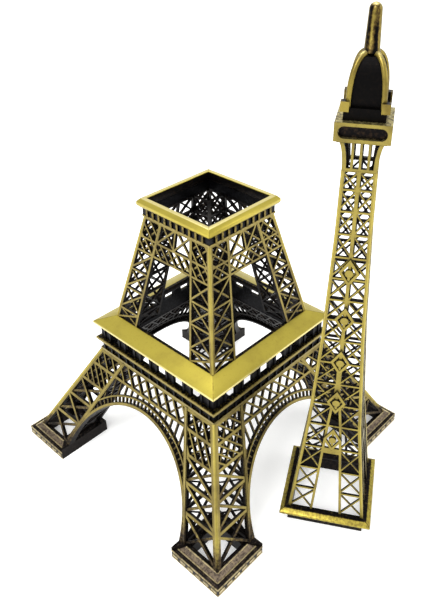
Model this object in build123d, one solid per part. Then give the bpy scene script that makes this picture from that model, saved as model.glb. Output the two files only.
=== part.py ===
from build123d import *
import math
import os

os.makedirs("parts", exist_ok=True)

# A two-piece cast-metal miniature of a lattice tower.  The lower section is a
# square pavilion on four splayed lattice legs, with an open square socket at
# its top.  The upper section is a slender lattice column on a square collar,
# whose plug drops into that socket.  The two stand side by side, as they do
# when the model is taken apart.  Millimetres, +Z up, origin on the floor at
# the centre of the lower section.

# ---------------------------------------------------------------- base plinths
base_half = 95.0
plinth_side = 38.8
plinth_band_height = 5.7
plinth_step_inset = 2.9
plinth_step_height = 6.3
plinth_slope_inset = 6.4
plinth_height = 8.6
plinth_wall = 9.0
plinth_panel_depth = 0.5
plinth_panel_count = 6

# ------------------------------------------------------------- first-stage legs
leg_foot_inset = 6.2
leg_foot_width = 29.4
leg_head_inner = 28.8
leg_head_height = 76.2
leg_level_shares = [0.23817, 0.45562, 0.66272, 0.84615]
leg_plate = 2.4
leg_corner_chord = 2.9
leg_inner_chord = 2.2
leg_tie = 1.7
leg_brace = 1.5
lattice_bar = 1.05
inward_bar_share = 0.55
plate_overrun = 2.0
leg_lattice_pitch = 6.2
girder_lattice_pitch = 8.6

# ------------------------------------------------------------------ first arches
arch_foot_height = 0.2
arch_foot_gap = 2.6
arch_crown_height = 57.0
arch_soffit_rib = 1.9
arch_depth = 6.3
arch_back_rib = 1.4
arch_strut_pitch = 3.6
arch_strut = 0.9
strut_reveal = 0.15
spandrel_pitch = 5.7
spandrel_strut = 1.0
spandrel_spread = math.radians(51)
soffit_depth = 4.2

# ------------------------------------------------------------- first-floor gallery
gallery_wall_half = 52.3
leg_head_reveal = 1.2
gallery_wall = 1.3
gallery_height = 21.7
frieze_rail_height = 1.7
frieze_post = 1.2
frieze_height = 7.7
frieze_relief = 1.2
ledge_height = 3.0
ledge_reach = 3.1
window_pitch = 15.2
window_width = 7.8
window_sill = 0.7
window_lintel = 1.0
pilaster_width = 1.8
pilaster_relief = 0.7

# ---------------------------------------------------------------- first-floor deck
deck_reach = 3.6
deck_rim = 1.4
deck_slope_run = 11.6
deck_rise = 5.5
deck_land = 2.3
deck_edge_thickness = 3.9
deck_seat = 3.2

# ------------------------------------------------------------ second-stage legs
stage_head_reveal = 1.8
stage_head_width = 15.6
stage_foot_width = 19.9
stage_height = 73.3
stage_level_shares = [0.106412, 0.319236, 0.507503, 0.702592, 0.825375]
stage_plate = 2.0
stage_corner_chord = 2.3
stage_inner_chord = 1.7
stage_tie = 1.3
stage_brace = 1.2
stage_lattice_pitch = 6.5
stage_hatch_pitch = 7.8

# ------------------------------------------------------- cornice and socket ring
socket_half = 26.0
cornice_height = 6.2
cornice_wall = 2.2
dentil_pitch = 5.2
dentil_width = 1.6
dentil_relief = 0.9
ring_reach = 4.8
ring_height = 6.0
ring_edge = 1.6

# ----------------------------------------------------- upper section: collar, plug
plug_clearance = 2.5
plug_height = 9.0
plug_wall = 1.8
collar_overlap = 2.2
collar_lip = 1.5
collar_height = 3.2
collar_slope_run = 2.4

# ----------------------------------------------------------- upper section: column
column_foot_reveal = 0.1
column_halves = [15.6, 11.6, 9.0, 8.4]
column_stretches = [65.8, 59.5, 65.0, 34.2]
column_row_shares = [
    [0.247006, 0.495509, 0.745509],
    [0.259934, 0.511589, 0.754967],
    [0.207576, 0.403030, 0.604545, 0.798485],
    [0.368876, 0.711816],
]
column_plate = 1.5
column_corner_chord = 1.7
column_inner_chord = 1.5
column_tie = 1.1
column_brace = 0.85
column_gap_foot = 8.2
column_gap_head = 3.0
column_gap_close = 1.4
spine_half_foot = 1.9
spine_half_head = 0.95
gusset_radius = 2.0
shelf_height = 3.4
ornament_shares = [0.253620, 0.375603, 0.499342, 0.623958, 0.753839]
ornament_width = 11.0
ornament_height = 16.0
ornament_bar = 1.5
ornament_relief = 1.4
ornament_boss = 2.2

# -------------------------------------------------- upper section: head and spire
flare_height = 15.9
flare_setback = 1.5
flare_rib = 1.3
flare_rib_depth = 3.0
flare_rib_offset = 3.9
platform_half = 13.1
platform_height = 9.3
slot_margin = 1.9
slot_height = 5.8
slot_depth = 2.2
block_setback = 3.4
block_height = 5.8
capital_side = 4.0
capital_reach = 1.5
capital_height = 4.7
capital_rise = 4.3
dome_setback = 0.5
dome_neck_half = 3.4
dome_height = 23.0
dome_rib = 2.7
dome_recess = 1.7
spire_radius = 3.9
spire_tip_radius = 2.9
spire_height = 18.0

# ------------------------------------------ where the upper section is stood down
stand_x = 5.5
stand_y = -99.3
stand_turn = -60.5

# The smallest opening in a lattice, in square millimetres.
least_opening = 0.45


# ------------------------------------------------------------ outlines in a plane
def keep_left(outline, a, b, gap):
    """The part of an outline that lies at least gap to the left of the line a-b."""
    dx = b[0] - a[0]
    dy = b[1] - a[1]
    length = math.hypot(dx, dy)

    def side(p):
        return ((p[1] - a[1]) * dx - (p[0] - a[0]) * dy) / length - gap

    kept = []
    for i, p in enumerate(outline):
        q = outline[(i + 1) % len(outline)]
        sp = side(p)
        sq = side(q)
        if sp >= 0:
            kept.append(p)
        if sp * sq < 0:
            t = sp / (sp - sq)
            kept.append((p[0] + (q[0] - p[0]) * t, p[1] + (q[1] - p[1]) * t))
    return kept


def area(outline):
    """Area inside an outline."""
    total = 0.0
    for i, p in enumerate(outline):
        q = outline[(i + 1) % len(outline)]
        total += p[0] * q[1] - q[0] * p[1]
    return total / 2


def inset(outline, widths):
    """A convex outline moved in from each edge by that edge's width."""
    result = outline
    for i, width in enumerate(widths):
        result = keep_left(result, outline[i], outline[(i + 1) % len(outline)], width)
    return result


def cells(quad, widths, bars):
    """The openings that bars leave in a framed panel."""
    openings = [inset(quad, widths)]
    for a, b, width in bars:
        halves = []
        for opening in openings:
            halves.append(keep_left(opening, a, b, width / 2))
            halves.append(keep_left(opening, b, a, width / 2))
        openings = [o for o in halves if len(o) > 2 and area(o) > least_opening / 4]
    return [tidy(o) for o in openings if len(o) > 2 and area(o) > least_opening]


def tidy(outline):
    """An outline without points that fall together."""
    points = []
    for p in outline:
        if not points or math.dist(p, points[-1]) > 0.02:
            points.append(p)
    if math.dist(points[0], points[-1]) <= 0.02:
        points.pop()
    return points


# --------------------------------------------------------------- inclined facings
class Incline:
    """The outer plane of one leaning face, on the front (-Y) side of the model."""

    def __init__(self, foot_half, foot_z, head_half, head_z):
        self.foot_half = foot_half
        self.foot_z = foot_z
        self.lean = (foot_half - head_half) / (head_z - foot_z)
        self.slope = math.hypot(1.0, self.lean)

    def half(self, z):
        """Half width of the model at height z."""
        return self.foot_half - self.lean * (z - self.foot_z)

    def slab(self, outline, openings, depth0, depth1):
        """A plate between two depths behind the plane, from outlines in (u, z)."""
        outer = self.wire(outline)
        inner = [self.wire(o) for o in openings]
        plate = Solid.extrude(Face(outer, inner), Vector(0, 0, depth1 - depth0))
        normal = Vector(0, -1 / self.slope, self.lean / self.slope)
        origin = Vector(0, -self.foot_half, self.foot_z) - normal * depth1
        frame = Plane(origin=origin, x_dir=(1, 0, 0), z_dir=normal)
        return plate.moved(frame.location)

    def wire(self, outline):
        points = [(u, (z - self.foot_z) * self.slope) for u, z in outline]
        return Wire.make_polygon(points, close=True)


def line(z0, u0, z1, u1):
    """A straight edge that gives its offset u at any height z."""
    return lambda z: u0 + (u1 - u0) * (z - z0) / (z1 - z0)


def bay(left, right, z0, z1):
    """The four corners of the panel between two edges and two heights."""
    return [(left(z0), z0), (right(z0), z0), (right(z1), z1), (left(z1), z1)]


def between(z0, z1, shares):
    """Heights that divide a stretch in the given shares."""
    return [z0 + (z1 - z0) * share for share in shares]


def crossed(quad, widths, brace, rising):
    """A panel with one diagonal in front and one behind."""
    fall = (quad[3], quad[1], brace)
    rise = (quad[0], quad[2], brace)
    front = rise if rising else fall
    back = fall if rising else rise
    return cells(quad, widths, [front]), cells(quad, widths, [front, back])


def hatched(quad, widths, pitch, bar, phase=0.0):
    """A panel with two sets of parallel diagonals, one behind the other."""
    z0 = quad[0][1]
    height = quad[2][1] - z0
    left = min(p[0] for p in quad) - height
    right = max(p[0] for p in quad) + height
    rise = []
    fall = []
    for k in range(math.floor(left / pitch), math.ceil(right / pitch) + 1):
        u = (k + phase) * pitch
        rise.append(((u, z0), (u + height, z0 + height), bar))
        fall.append(((u + height, z0), (u, z0 + height), bar))
    return cells(quad, widths, fall), cells(quad, widths, rise + fall)


def facing(incline, outline, panels, thickness, step):
    """A lattice plate whose rear diagonals are set back by step."""
    front = [o for pair in panels for o in pair[0]]
    back = [o for pair in panels for o in pair[1]]
    plate = incline.slab(outline, front, 0.0, thickness)
    return plate.fuse(incline.slab(outline, back, step, thickness))


def turned(shape, quarter):
    """A shape turned about +Z by a number of quarter turns."""
    return shape.moved(Location((0, 0, 0), (0, 0, 90 * quarter)))


def mitred(shape, z0, z1):
    """A shape on the front side cut at the two corner planes, so that four of them meet."""
    reach = 2 * base_half
    corners = [(0, 0, z0 - 1), (-reach, -reach, z0 - 1), (reach, -reach, z0 - 1)]
    wedge = Face(Wire.make_polygon(corners, close=True))
    return one(shape.intersect(Solid.extrude(wedge, Vector(0, 0, z1 - z0 + 2))))


def square_bar(section):
    """One side of a square frame, mitred at 45 degrees, on the front side.

    section holds (distance from the centre, z) points.
    """
    reach = 2 * base_half
    wire = Wire.make_polygon([(-reach, -d, z) for d, z in section], close=True)
    bar = Solid.extrude(Face(wire), Vector(2 * reach, 0, 0))
    heights = [z for _, z in section]
    return mitred(bar, min(heights), max(heights))


def slice_between(shape, z0, z1):
    """The part of a shape between two heights."""
    reach = 2 * base_half
    return one(shape.intersect(block(-reach, reach, -reach, reach, z0, z1)))


def one(result):
    """The largest solid of a boolean result."""
    solids = result.solids() if hasattr(result, "solids") else result
    if isinstance(result, (list, tuple)):
        solids = [s for r in result for s in r.solids()]
    return sorted(solids, key=lambda s: s.volume)[-1]


def block(x0, x1, y0, y1, z0, z1):
    """An upright box from its limits."""
    return Solid.make_box(x1 - x0, y1 - y0, z1 - z0).moved(Location((x0, y0, z0)))


def save(shape, name):
    """Write one named piece."""
    export_step(shape, "parts/" + name + ".step")


SIDES = ["front", "right", "back", "left"]
CORNERS = ["front_left", "front_right", "back_right", "back_left"]


# ------------------------------------------------------------------ base plinths
def plinth():
    """An open square plinth under the front left leg, with panelled sides."""
    half = plinth_side / 2
    section = [
        (half, 0.0),
        (half, plinth_band_height),
        (half - plinth_step_inset, plinth_step_height),
        (half - plinth_slope_inset, plinth_height),
        (half - plinth_wall, plinth_height),
        (half - plinth_wall, 0.0),
    ]
    plain = [
        (half, 0.0),
        (half, plinth_height),
        (half - plinth_wall, plinth_height),
        (half - plinth_wall, 0.0),
    ]
    bar = square_bar(section)
    panel_length = plinth_side / plinth_panel_count
    for k in range(plinth_panel_count):
        x0 = -half + k * panel_length + 0.9
        x1 = x0 + panel_length - 1.8
        y0 = -half - 1
        y1 = -half + plinth_panel_depth
        bar = one(bar.cut(block(x0, x1, y0, y1, 1.5, plinth_band_height - 1.5)))
    inner_bar = square_bar(plain)
    frame = bar.fuse(turned(bar, -1), turned(inner_bar, 1), turned(inner_bar, 2))
    centre = base_half - half
    return one(frame.moved(Location((-centre, -centre, 0))))


# -------------------------------------------------------------------- lattice legs
def leg_pier(outer, inner, levels, head_z, foot_z, plate, widths, panels_of):
    """A four-sided lattice pier in the front left corner.

    outer is the outer incline and inner the incline of the faces that look to
    the centre.  panels_of gives a face's panels between two edges.
    """
    corner, chord, tie = widths
    step = plate * 0.3

    def face(incline, left, right, corner_left, depth0):
        low_z = foot_z - plate_overrun
        high_z = head_z + plate_overrun
        outline = bay(left, right, low_z, high_z)
        sides = (corner, chord) if corner_left else (chord, corner)
        panels = []
        floors = [foot_z] + levels + [head_z]
        for k, (z0, z1) in enumerate(zip(floors, floors[1:])):
            low = 0.0 if k == 0 else tie / 2
            high = tie if k == len(floors) - 2 else tie / 2
            edge = [low, sides[1], high, sides[0]]
            share = 1.0 if depth0 == 0.0 else inward_bar_share
            panels.append(panels_of(k, bay(left, right, z0, z1), edge, share))
        if depth0 == 0.0:
            return facing(incline, outline, panels, plate, step)
        back = [o for pair in panels for o in pair[1]]
        return incline.slab(outline, back, depth0, 0.0)

    def outer_left(z):
        return -outer.half(z)

    def inner_left(z):
        return -inner.half(z)

    left_half = face(outer, outer_left, inner_left, True, 0.0)
    right_half = face(outer, inner.half, outer.half, False, 0.0)
    pier = left_half.fuse(turned(right_half, -1))
    inward = face(inner, outer_left, inner_left, True, -plate * 0.75)
    inward_turned = face(inner, inner.half, outer.half, False, -plate * 0.75)
    return pier.fuse(inward, turned(inward_turned, -1))


leg_foot_half = base_half - leg_foot_inset
leg_foot_inner = leg_foot_half - leg_foot_width
leg_head_half = gallery_wall_half + leg_head_reveal
leg_levels = between(plinth_height, leg_head_height, leg_level_shares)
outer_low = Incline(leg_foot_half, plinth_height, leg_head_half, leg_head_height)
inner_low = Incline(leg_foot_inner, plinth_height, leg_head_inner, leg_head_height)


def low_panels(k, quad, edge, share):
    """First-stage leg: three braced bays under two hatched ones, with bars of a share of their width."""
    if k < 3:
        return crossed(quad, edge, leg_brace * share, False)
    pitch = leg_lattice_pitch if k == 3 else girder_lattice_pitch
    return hatched(quad, edge, pitch, lattice_bar * share)


def low_leg():
    """A first-stage leg, standing on its plinth."""
    widths = (leg_corner_chord, leg_inner_chord, leg_tie)
    pier = leg_pier(
        outer_low, inner_low, leg_levels, leg_head_height, plinth_height,
        leg_plate, widths, low_panels,
    )
    return slice_between(pier, plinth_height, leg_head_height)


# ------------------------------------------------------------------------- arches
arch_foot_half = leg_foot_inner - arch_foot_gap
arch_rise = min(arch_crown_height - arch_foot_height, arch_foot_half)
arch_radius = (arch_foot_half ** 2 + arch_rise ** 2) / (2 * arch_rise)
arch_centre_height = arch_foot_height + arch_rise - arch_radius


def arch_height(radius, u):
    """Height of an arch rib of the given radius at offset u."""
    return arch_centre_height + math.sqrt(radius * radius - u * u)


def arc(radius, angle0, angle1, count):
    """Points on an arch rib, by angle from the crown."""
    points = []
    for k in range(count + 1):
        angle = angle0 + (angle1 - angle0) * k / count
        points.append((radius * math.sin(angle), arch_centre_height + radius * math.cos(angle)))
    return points


def angle_down_to(z):
    """The angle from the crown at which the arch comes down to height z."""
    return math.acos((z - arch_centre_height) / arch_radius)


def within_legs(outline, gap):
    """An outline cut back to the space between the two inner leg chords."""
    z0 = plinth_height
    z1 = leg_head_height
    u0 = inner_low.half(z0)
    u1 = inner_low.half(z1)
    outline = keep_left(outline, (u0, z0), (u1, z1), gap)
    return keep_left(outline, (-u1, z1), (-u0, z0), gap)


def spread_within_legs(radius, gap, limit):
    """The angle from the crown at which a rib comes up to the leg chords."""
    angle = 0.0
    while angle < limit:
        point = arc(radius, angle, angle, 1)[0]
        if point[0] > inner_low.half(point[1]) - gap:
            return angle
        angle += 0.001
    return limit


def arch_facing():
    """The arch, its spandrels and the hatched girder on the front side."""
    foot_z = plinth_height - plate_overrun
    top_z = leg_head_height
    high_z = top_z + plate_overrun
    rail_z = leg_levels[-1]
    foot_angle = angle_down_to(foot_z)
    chord = inner_low.half
    outline = arc(arch_radius, -foot_angle, foot_angle, 64)
    outline += [(chord(foot_z), foot_z), (chord(high_z), high_z)]
    outline += [(-chord(high_z), high_z), (-chord(foot_z), foot_z)]

    soffit = arch_radius + arch_soffit_rib
    back = arch_radius + arch_depth
    crown = back - arch_back_rib
    spread = spread_within_legs(soffit - strut_reveal, 0.6, foot_angle)
    fine = []
    count = round(2 * foot_angle * back / arch_strut_pitch)
    for k in range(count):
        a0 = -foot_angle + 2 * foot_angle * k / count + arch_strut / back / 2
        a1 = -foot_angle + 2 * foot_angle * (k + 1) / count - arch_strut / back / 2
        if min(abs(a0), abs(a1)) < spread:
            cell = arc(crown, a1, a0, 1) + arc(soffit, a0, a1, 1)
            fine.append(within_legs(cell, 0.7))
    band = arc(crown + strut_reveal, spread, -spread, 60)
    band += arc(soffit - strut_reveal, -spread, spread, 60)
    coarse = [within_legs(band, 0.6)]

    under = rail_z - leg_tie / 2
    reach = back * math.sin(spandrel_spread)
    bays = round(2 * reach / spandrel_pitch / 2) * 2
    for k in range(bays):
        u0 = -reach + 2 * reach * k / bays + spandrel_strut / 2
        u1 = -reach + 2 * reach * (k + 1) / bays - spandrel_strut / 2
        cell = [(u0, arch_height(back, u0)), (u1, arch_height(back, u1)), (u1, under), (u0, under)]
        fine.append(within_legs(cell, 0.7))
    middle = arc(back - 2 * strut_reveal, -spandrel_spread, spandrel_spread, 48)
    middle += [(reach, under + strut_reveal), (-reach, under + strut_reveal)]
    coarse.append(within_legs(middle, 0.6))

    quad = bay(lambda z: -chord(z), chord, rail_z, top_z)
    front, rear = hatched(quad, [leg_tie / 2, 0.6, leg_tie / 2, 0.6], girder_lattice_pitch, lattice_bar)
    fine = [tidy(o) for o in fine if len(o) > 2 and area(o) > least_opening]
    coarse = [tidy(o) for o in coarse if len(o) > 2 and area(o) > least_opening]
    plate = outer_low.slab(outline, coarse + front, 0.0, leg_plate)
    plate = plate.fuse(outer_low.slab(outline, fine + rear, leg_plate * 0.3, leg_plate))
    rib = arc(arch_radius, -foot_angle, foot_angle, 64)
    rib += arc(soffit - 2 * strut_reveal, foot_angle, -foot_angle, 64)
    rib = within_legs(rib, strut_reveal)
    plate = plate.fuse(outer_low.slab(tidy(rib), [], 0.0, soffit_depth))
    return slice_between(plate, plinth_height, top_z)


# ------------------------------------------------------------ first-floor gallery
gallery_z = leg_head_height
deck_z = gallery_z + gallery_height


def gallery_side():
    """The front gallery wall: blind frieze, ledge, windows and pilasters."""
    face_half = gallery_wall_half
    inner = face_half - gallery_wall
    section = [(inner, gallery_z), (face_half, gallery_z), (face_half, deck_z), (inner, deck_z)]
    wall = square_bar(section)
    front = face_half + frieze_relief
    rail_top = gallery_z + frieze_rail_height
    ledge_z = gallery_z + frieze_height
    ledge_top = ledge_z + ledge_height
    rail = [(face_half, gallery_z), (front, gallery_z), (front, rail_top), (face_half, rail_top)]
    wall = wall.fuse(square_bar(rail))
    nose = face_half + ledge_reach
    ledge = [
        (face_half, ledge_z),
        (nose - 1.2, ledge_z),
        (nose - 0.3, ledge_z + 0.8),
        (nose, ledge_top - 1.3),
        (nose - 0.3, ledge_top - 0.4),
        (nose - 1.0, ledge_top),
        (face_half, ledge_top),
    ]
    wall = wall.fuse(square_bar(ledge))
    posts = []
    post_pitch = window_pitch / 2
    count = 2 * math.floor(face_half / post_pitch + 0.5)
    for k in range(count):
        u = (k - (count - 1) / 2) * post_pitch
        posts.append(block(u - frieze_post / 2, u + frieze_post / 2, -front, -face_half, rail_top, ledge_z))
    windows = []
    piers = 2 * math.floor(inner / window_pitch) + 1
    sill = ledge_top + window_sill
    lintel = deck_z - window_lintel
    relief = face_half + pilaster_relief
    for k in range(piers):
        u = (k - (piers - 1) / 2) * window_pitch
        for side in (-1, 1):
            middle = u + side * (window_pitch - window_width - pilaster_width) / 2
            x0 = middle - pilaster_width / 2
            x1 = middle + pilaster_width / 2
            if max(abs(x0), abs(x1)) < face_half - 1:
                posts.append(block(x0, x1, -relief, -face_half, ledge_top, deck_z))
    for k in range(piers - 1):
        u = (k - (piers - 2) / 2) * window_pitch
        x0 = u - window_width / 2
        windows.append(block(x0, x0 + window_width, -face_half - ledge_reach, -inner + 1, sill, lintel))
    wall = wall.fuse(*posts)
    return one(wall.cut(*windows))


# --------------------------------------------------------------- first-floor deck
deck_rim_z = deck_z + deck_rim
deck_top_z = deck_z + deck_rise
deck_half = gallery_wall_half + deck_reach
deck_top_half = deck_half - deck_slope_run


def deck_side():
    """One mitred side of the sloping deck, with a flat land for the legs above."""
    section = [
        (deck_half - 0.5, deck_z),
        (deck_half, deck_z + 0.5),
        (deck_half, deck_rim_z - 0.4),
        (deck_half - 0.5, deck_rim_z),
        (deck_top_half, deck_top_z),
        (deck_top_half - deck_land, deck_top_z),
        (deck_top_half - deck_land, deck_top_z - deck_edge_thickness),
        (gallery_wall_half - deck_seat, deck_z),
    ]
    return square_bar(section)


# -------------------------------------------------------------- second-stage legs
stage_foot_inner = deck_top_half - stage_foot_width
stage_head_half = socket_half + stage_head_reveal
stage_head_inner = stage_head_half - stage_head_width
stage_head_height = deck_top_z + stage_height
stage_levels = between(deck_top_z, stage_head_height, stage_level_shares)
outer_high = Incline(deck_top_half, deck_top_z, stage_head_half, stage_head_height)
inner_high = Incline(stage_foot_inner, deck_top_z, stage_head_inner, stage_head_height)


def high_panels(k, quad, edge, share):
    """Second-stage leg: four braced bays under two hatched ones, with bars of a share of their width."""
    if k < 4:
        return crossed(quad, edge, stage_brace * share, True)
    pitch = stage_lattice_pitch if k == 4 else stage_hatch_pitch
    return hatched(quad, edge, pitch, lattice_bar * share)


def high_leg():
    """A second-stage leg, standing on the land of the deck."""
    widths = (stage_corner_chord, stage_inner_chord, stage_tie)
    pier = leg_pier(
        outer_high, inner_high, stage_levels, stage_head_height, deck_top_z,
        stage_plate, widths, high_panels,
    )
    return slice_between(pier, deck_top_z, stage_head_height)


def stage_girder():
    """The double girder between the second-stage legs, on the front side."""
    z0 = stage_levels[-2] - stage_tie / 2
    z1 = stage_levels[-1]
    z2 = stage_head_height
    chord = inner_high.half
    left = line(0, -chord(0), 1, -chord(1))
    outline = bay(left, chord, z0, z2 + plate_overrun)
    tie = stage_tie / 2
    upper = bay(left, chord, z0, z1)
    panels = [hatched(upper, [stage_tie, 0.4, tie, 0.4], stage_lattice_pitch, lattice_bar, 0.25)]
    middle = line(0, 0.0, 1, 0.0)
    for a, b in ((left, middle), (middle, chord)):
        sides = [tie, 0.6, stage_tie, 0.6]
        panels.append(crossed(bay(a, b, z1, z2), sides, stage_brace, True))
    plate = facing(outer_high, outline, panels, stage_plate, stage_plate * 0.3)
    return slice_between(plate, z0 - 2, z2)


# ---------------------------------------------------------- cornice, socket ring
cornice_z = stage_head_height
ring_z = cornice_z + cornice_height
ring_top_z = ring_z + ring_height
ring_half = socket_half + ring_reach


def cornice_side():
    """One mitred side of the cornice, with a row of dentils."""
    face_half = socket_half + cornice_wall
    base_top = cornice_z + 1.3
    section = [
        (socket_half, cornice_z),
        (face_half + 0.3, cornice_z),
        (face_half + 0.3, base_top),
        (face_half, base_top),
        (face_half, ring_z),
        (socket_half, ring_z),
    ]
    side = square_bar(section)
    dentils = []
    count = math.floor(2 * face_half / dentil_pitch)
    for k in range(count):
        u = (k - (count - 1) / 2) * dentil_pitch
        front = -(face_half + dentil_relief)
        x0 = u - dentil_width / 2
        dentils.append(block(x0, x0 + dentil_width, front, -face_half, base_top, ring_z))
    return one(side.fuse(*dentils))


def ring_side():
    """One mitred side of the bevelled ring around the socket."""
    section = [
        (socket_half, ring_z),
        (ring_half - ring_edge, ring_z),
        (ring_half - 0.3, ring_z + 0.9),
        (ring_half, ring_z + ring_edge),
        (ring_half - 0.1, ring_top_z - 2.6),
        (ring_half - 0.8, ring_top_z - 1.2),
        (ring_half - 2.3, ring_top_z - 0.3),
        (ring_half - 3.4, ring_top_z),
        (socket_half + 0.4, ring_top_z),
        (socket_half, ring_top_z - 0.4),
    ]
    return square_bar(section)


# ------------------------------------------------------- upper section, own frame
plug_half = socket_half - plug_clearance
collar_half = socket_half + collar_overlap
collar_crest_half = collar_half - collar_slope_run
collar_top_z = plug_height + collar_height
column_inner_half = plug_half - plug_wall
column_foot_half = column_inner_half + column_plate + column_foot_reveal
column_breaks = [collar_top_z + sum(column_stretches[:n + 1]) for n in range(len(column_stretches))]
column_feet = [collar_top_z] + column_breaks[:-1]
column_rows = [between(z0, z1, shares) for z0, z1, shares in zip(column_feet, column_breaks, column_row_shares)]
ornament_heights = between(collar_top_z, column_breaks[-1], ornament_shares)


def plug_side():
    """One mitred side of the plug, under the collar."""
    section = [
        (column_inner_half, 0.0),
        (plug_half - 0.4, 0.0),
        (plug_half, 0.4),
        (plug_half, plug_height),
        (column_inner_half, plug_height),
    ]
    return square_bar(section)


def plug():
    """The square tube that drops into the socket."""
    side = plug_side()
    tube = side
    for quarter in (1, 2, 3):
        tube = tube.fuse(turned(side, quarter))
    return one(tube)


def collar_side():
    """One mitred side of the collar that rests on the socket ring."""
    section = [
        (column_inner_half, plug_height),
        (collar_half - 0.4, plug_height),
        (collar_half, plug_height + 0.4),
        (collar_half, plug_height + collar_lip),
        (collar_crest_half, collar_top_z - 0.2),
        (collar_crest_half - 0.9, collar_top_z),
        (column_inner_half, collar_top_z),
    ]
    return square_bar(section)


def column_inclines():
    """The four straight stretches of one side of the column."""
    inclines = []
    half = column_foot_half
    z = collar_top_z
    for head_half, head_z in zip(column_halves, column_breaks):
        inclines.append(Incline(half, z, head_half, head_z))
        half = head_half
        z = head_z
    return inclines


def column_face():
    """One side of the column, mitred at its corners."""
    inclines = column_inclines()
    rows = column_rows
    gap = line(collar_top_z, column_gap_foot, column_breaks[0], column_gap_head)
    narrow = line(column_breaks[0], column_gap_head, rows[1][0], column_gap_close)
    spine = line(rows[1][0], spine_half_foot, column_breaks[1], spine_half_head)
    top_spine = line(0, spine_half_head, 1, spine_half_head)
    middle = line(0, 0.0, 1, 0.0)
    tie = column_tie / 2
    whole = None
    z = collar_top_z
    for n, incline in enumerate(inclines):
        floors = [z] + rows[n] + [column_breaks[n]]
        half = incline.half
        panels = []
        for k, (z0, z1) in enumerate(zip(floors, floors[1:])):
            low = 0.0 if n == 0 and k == 0 else tie
            high = tie
            if n == 0:
                inner = gap
                bar = column_inner_chord
            elif n == 1 and k == 0:
                inner = narrow
                bar = column_inner_chord
            else:
                inner = middle
                bar = spine((z0 + z1) / 2) if n == 1 else top_spine(z0)
            outward = line(0, inner(0), 1, inner(1))
            mirror = line(0, -inner(0), 1, -inner(1))
            left = line(0, -half(0), 1, -half(1))
            edge_left = [low, bar, high, column_corner_chord]
            edge_right = [low, column_corner_chord, high, bar]
            panels.append(crossed(bay(left, mirror, z0, z1), edge_left, column_brace, True))
            panels.append(crossed(bay(outward, half, z0, z1), edge_right, column_brace, True))
            if inner is narrow or (n == 0 and k == 3):
                hole = cells(bay(mirror, outward, z0, z1), [tie, 0.0, tie, 0.0], [])
                panels.append((hole, hole))
        top = column_breaks[n]
        low_z = z - plate_overrun
        high_z = top + plate_overrun
        if n == 0:
            notch_z = rows[0][-1] - shelf_height
            outline = [(-half(low_z), low_z), (-gap(low_z), low_z), (-gap(notch_z), notch_z)]
            outline += [(gap(notch_z), notch_z), (gap(low_z), low_z), (half(low_z), low_z)]
            outline += [(half(high_z), high_z), (-half(high_z), high_z)]
        else:
            outline = bay(left, half, low_z, high_z)
        plate = facing(incline, outline, panels, column_plate, column_plate * 0.3)
        plate = slice_between(plate, z, top)
        whole = plate if whole is None else whole.fuse(plate)
        z = top
    discs = []
    for z in [column_breaks[1], rows[2][1], column_breaks[2], rows[3][0], rows[3][1]]:
        incline = next(i for i, top in zip(inclines, column_breaks) if z <= top)
        disc = Solid.make_cylinder(gusset_radius, column_plate * 0.9)
        frame = Plane(origin=(0, -incline.half(z) + column_plate, z), x_dir=(1, 0, 0), z_dir=(0, -1, 0))
        discs.append(disc.moved(frame.location))
    whole = whole.fuse(*discs)
    return mitred(whole, collar_top_z, column_breaks[-1])


def ornament(z):
    """A plain lozenge with a boss, fixed to the front of the column."""
    incline = next(i for i, top in zip(column_inclines(), column_breaks) if z <= top)
    w = ornament_width / 2
    h = ornament_height / 2
    outline = [(-w, z), (0, z - h), (w, z), (0, z + h)]
    opening = inset(outline, [ornament_bar] * 4)
    frame = incline.slab(outline, [opening], -ornament_relief, 0.0)
    r = ornament_bar / 2
    bar = [(-r, z - h + 1), (r, z - h + 1), (r, z + h - 1), (-r, z + h - 1)]
    rail = incline.slab(bar, [], -ornament_relief * 0.7, 0.0)
    boss = []
    for k in range(24):
        angle = 2 * math.pi * k / 24
        boss.append((ornament_boss * math.cos(angle), z + ornament_boss * math.sin(angle)))
    return one(frame.fuse(rail, incline.slab(boss, [], -ornament_relief - 0.5, 0.0)))


# ----------------------------------------------------------------- head and spire
flare_z = column_breaks[-1]
platform_z = flare_z + flare_height
platform_top_z = platform_z + platform_height
dome_z = platform_top_z + block_height
flare_half = platform_half - flare_setback
slot_length = 2 * (platform_half - slot_margin)
block_half = platform_half - block_setback
capital_half = block_half + capital_reach
dome_half = block_half - dome_setback


def flare_profile(z):
    """Half width of the flare at height z: it opens out as a quarter ellipse."""
    t = (z - flare_z) / flare_height
    spread = 1 - math.sqrt(max(0.0, 1 - t * t * 0.96))
    return column_halves[-1] + (flare_half - column_halves[-1]) * spread


def dome_profile(z):
    """Half width of the dome at height z."""
    t = (z - dome_z) / dome_height
    return dome_neck_half + (dome_half - dome_neck_half) * math.sqrt(max(0.0, 1 - t ** 2.6))


def corner_posts(profile, outer, inner, z0, z1, steps):
    """Four posts that follow a profile up the corners of a square."""
    levels = [z0 + (z1 - z0) * k / steps for k in range(steps + 1)]
    bands = []
    for side in (-1, 1):
        points = [(side * (profile(z) + outer), z) for z in levels]
        points += [(side * (profile(z) - inner), z) for z in reversed(levels)]
        wire = Wire.make_polygon([(x, -base_half, z) for x, z in points], close=True)
        bands.append(Solid.extrude(Face(wire), Vector(0, 2 * base_half, 0)))
    posts = []
    for a in bands:
        for b in bands:
            posts.append(one(a.intersect(turned(b, 1))))
    return posts


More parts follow.
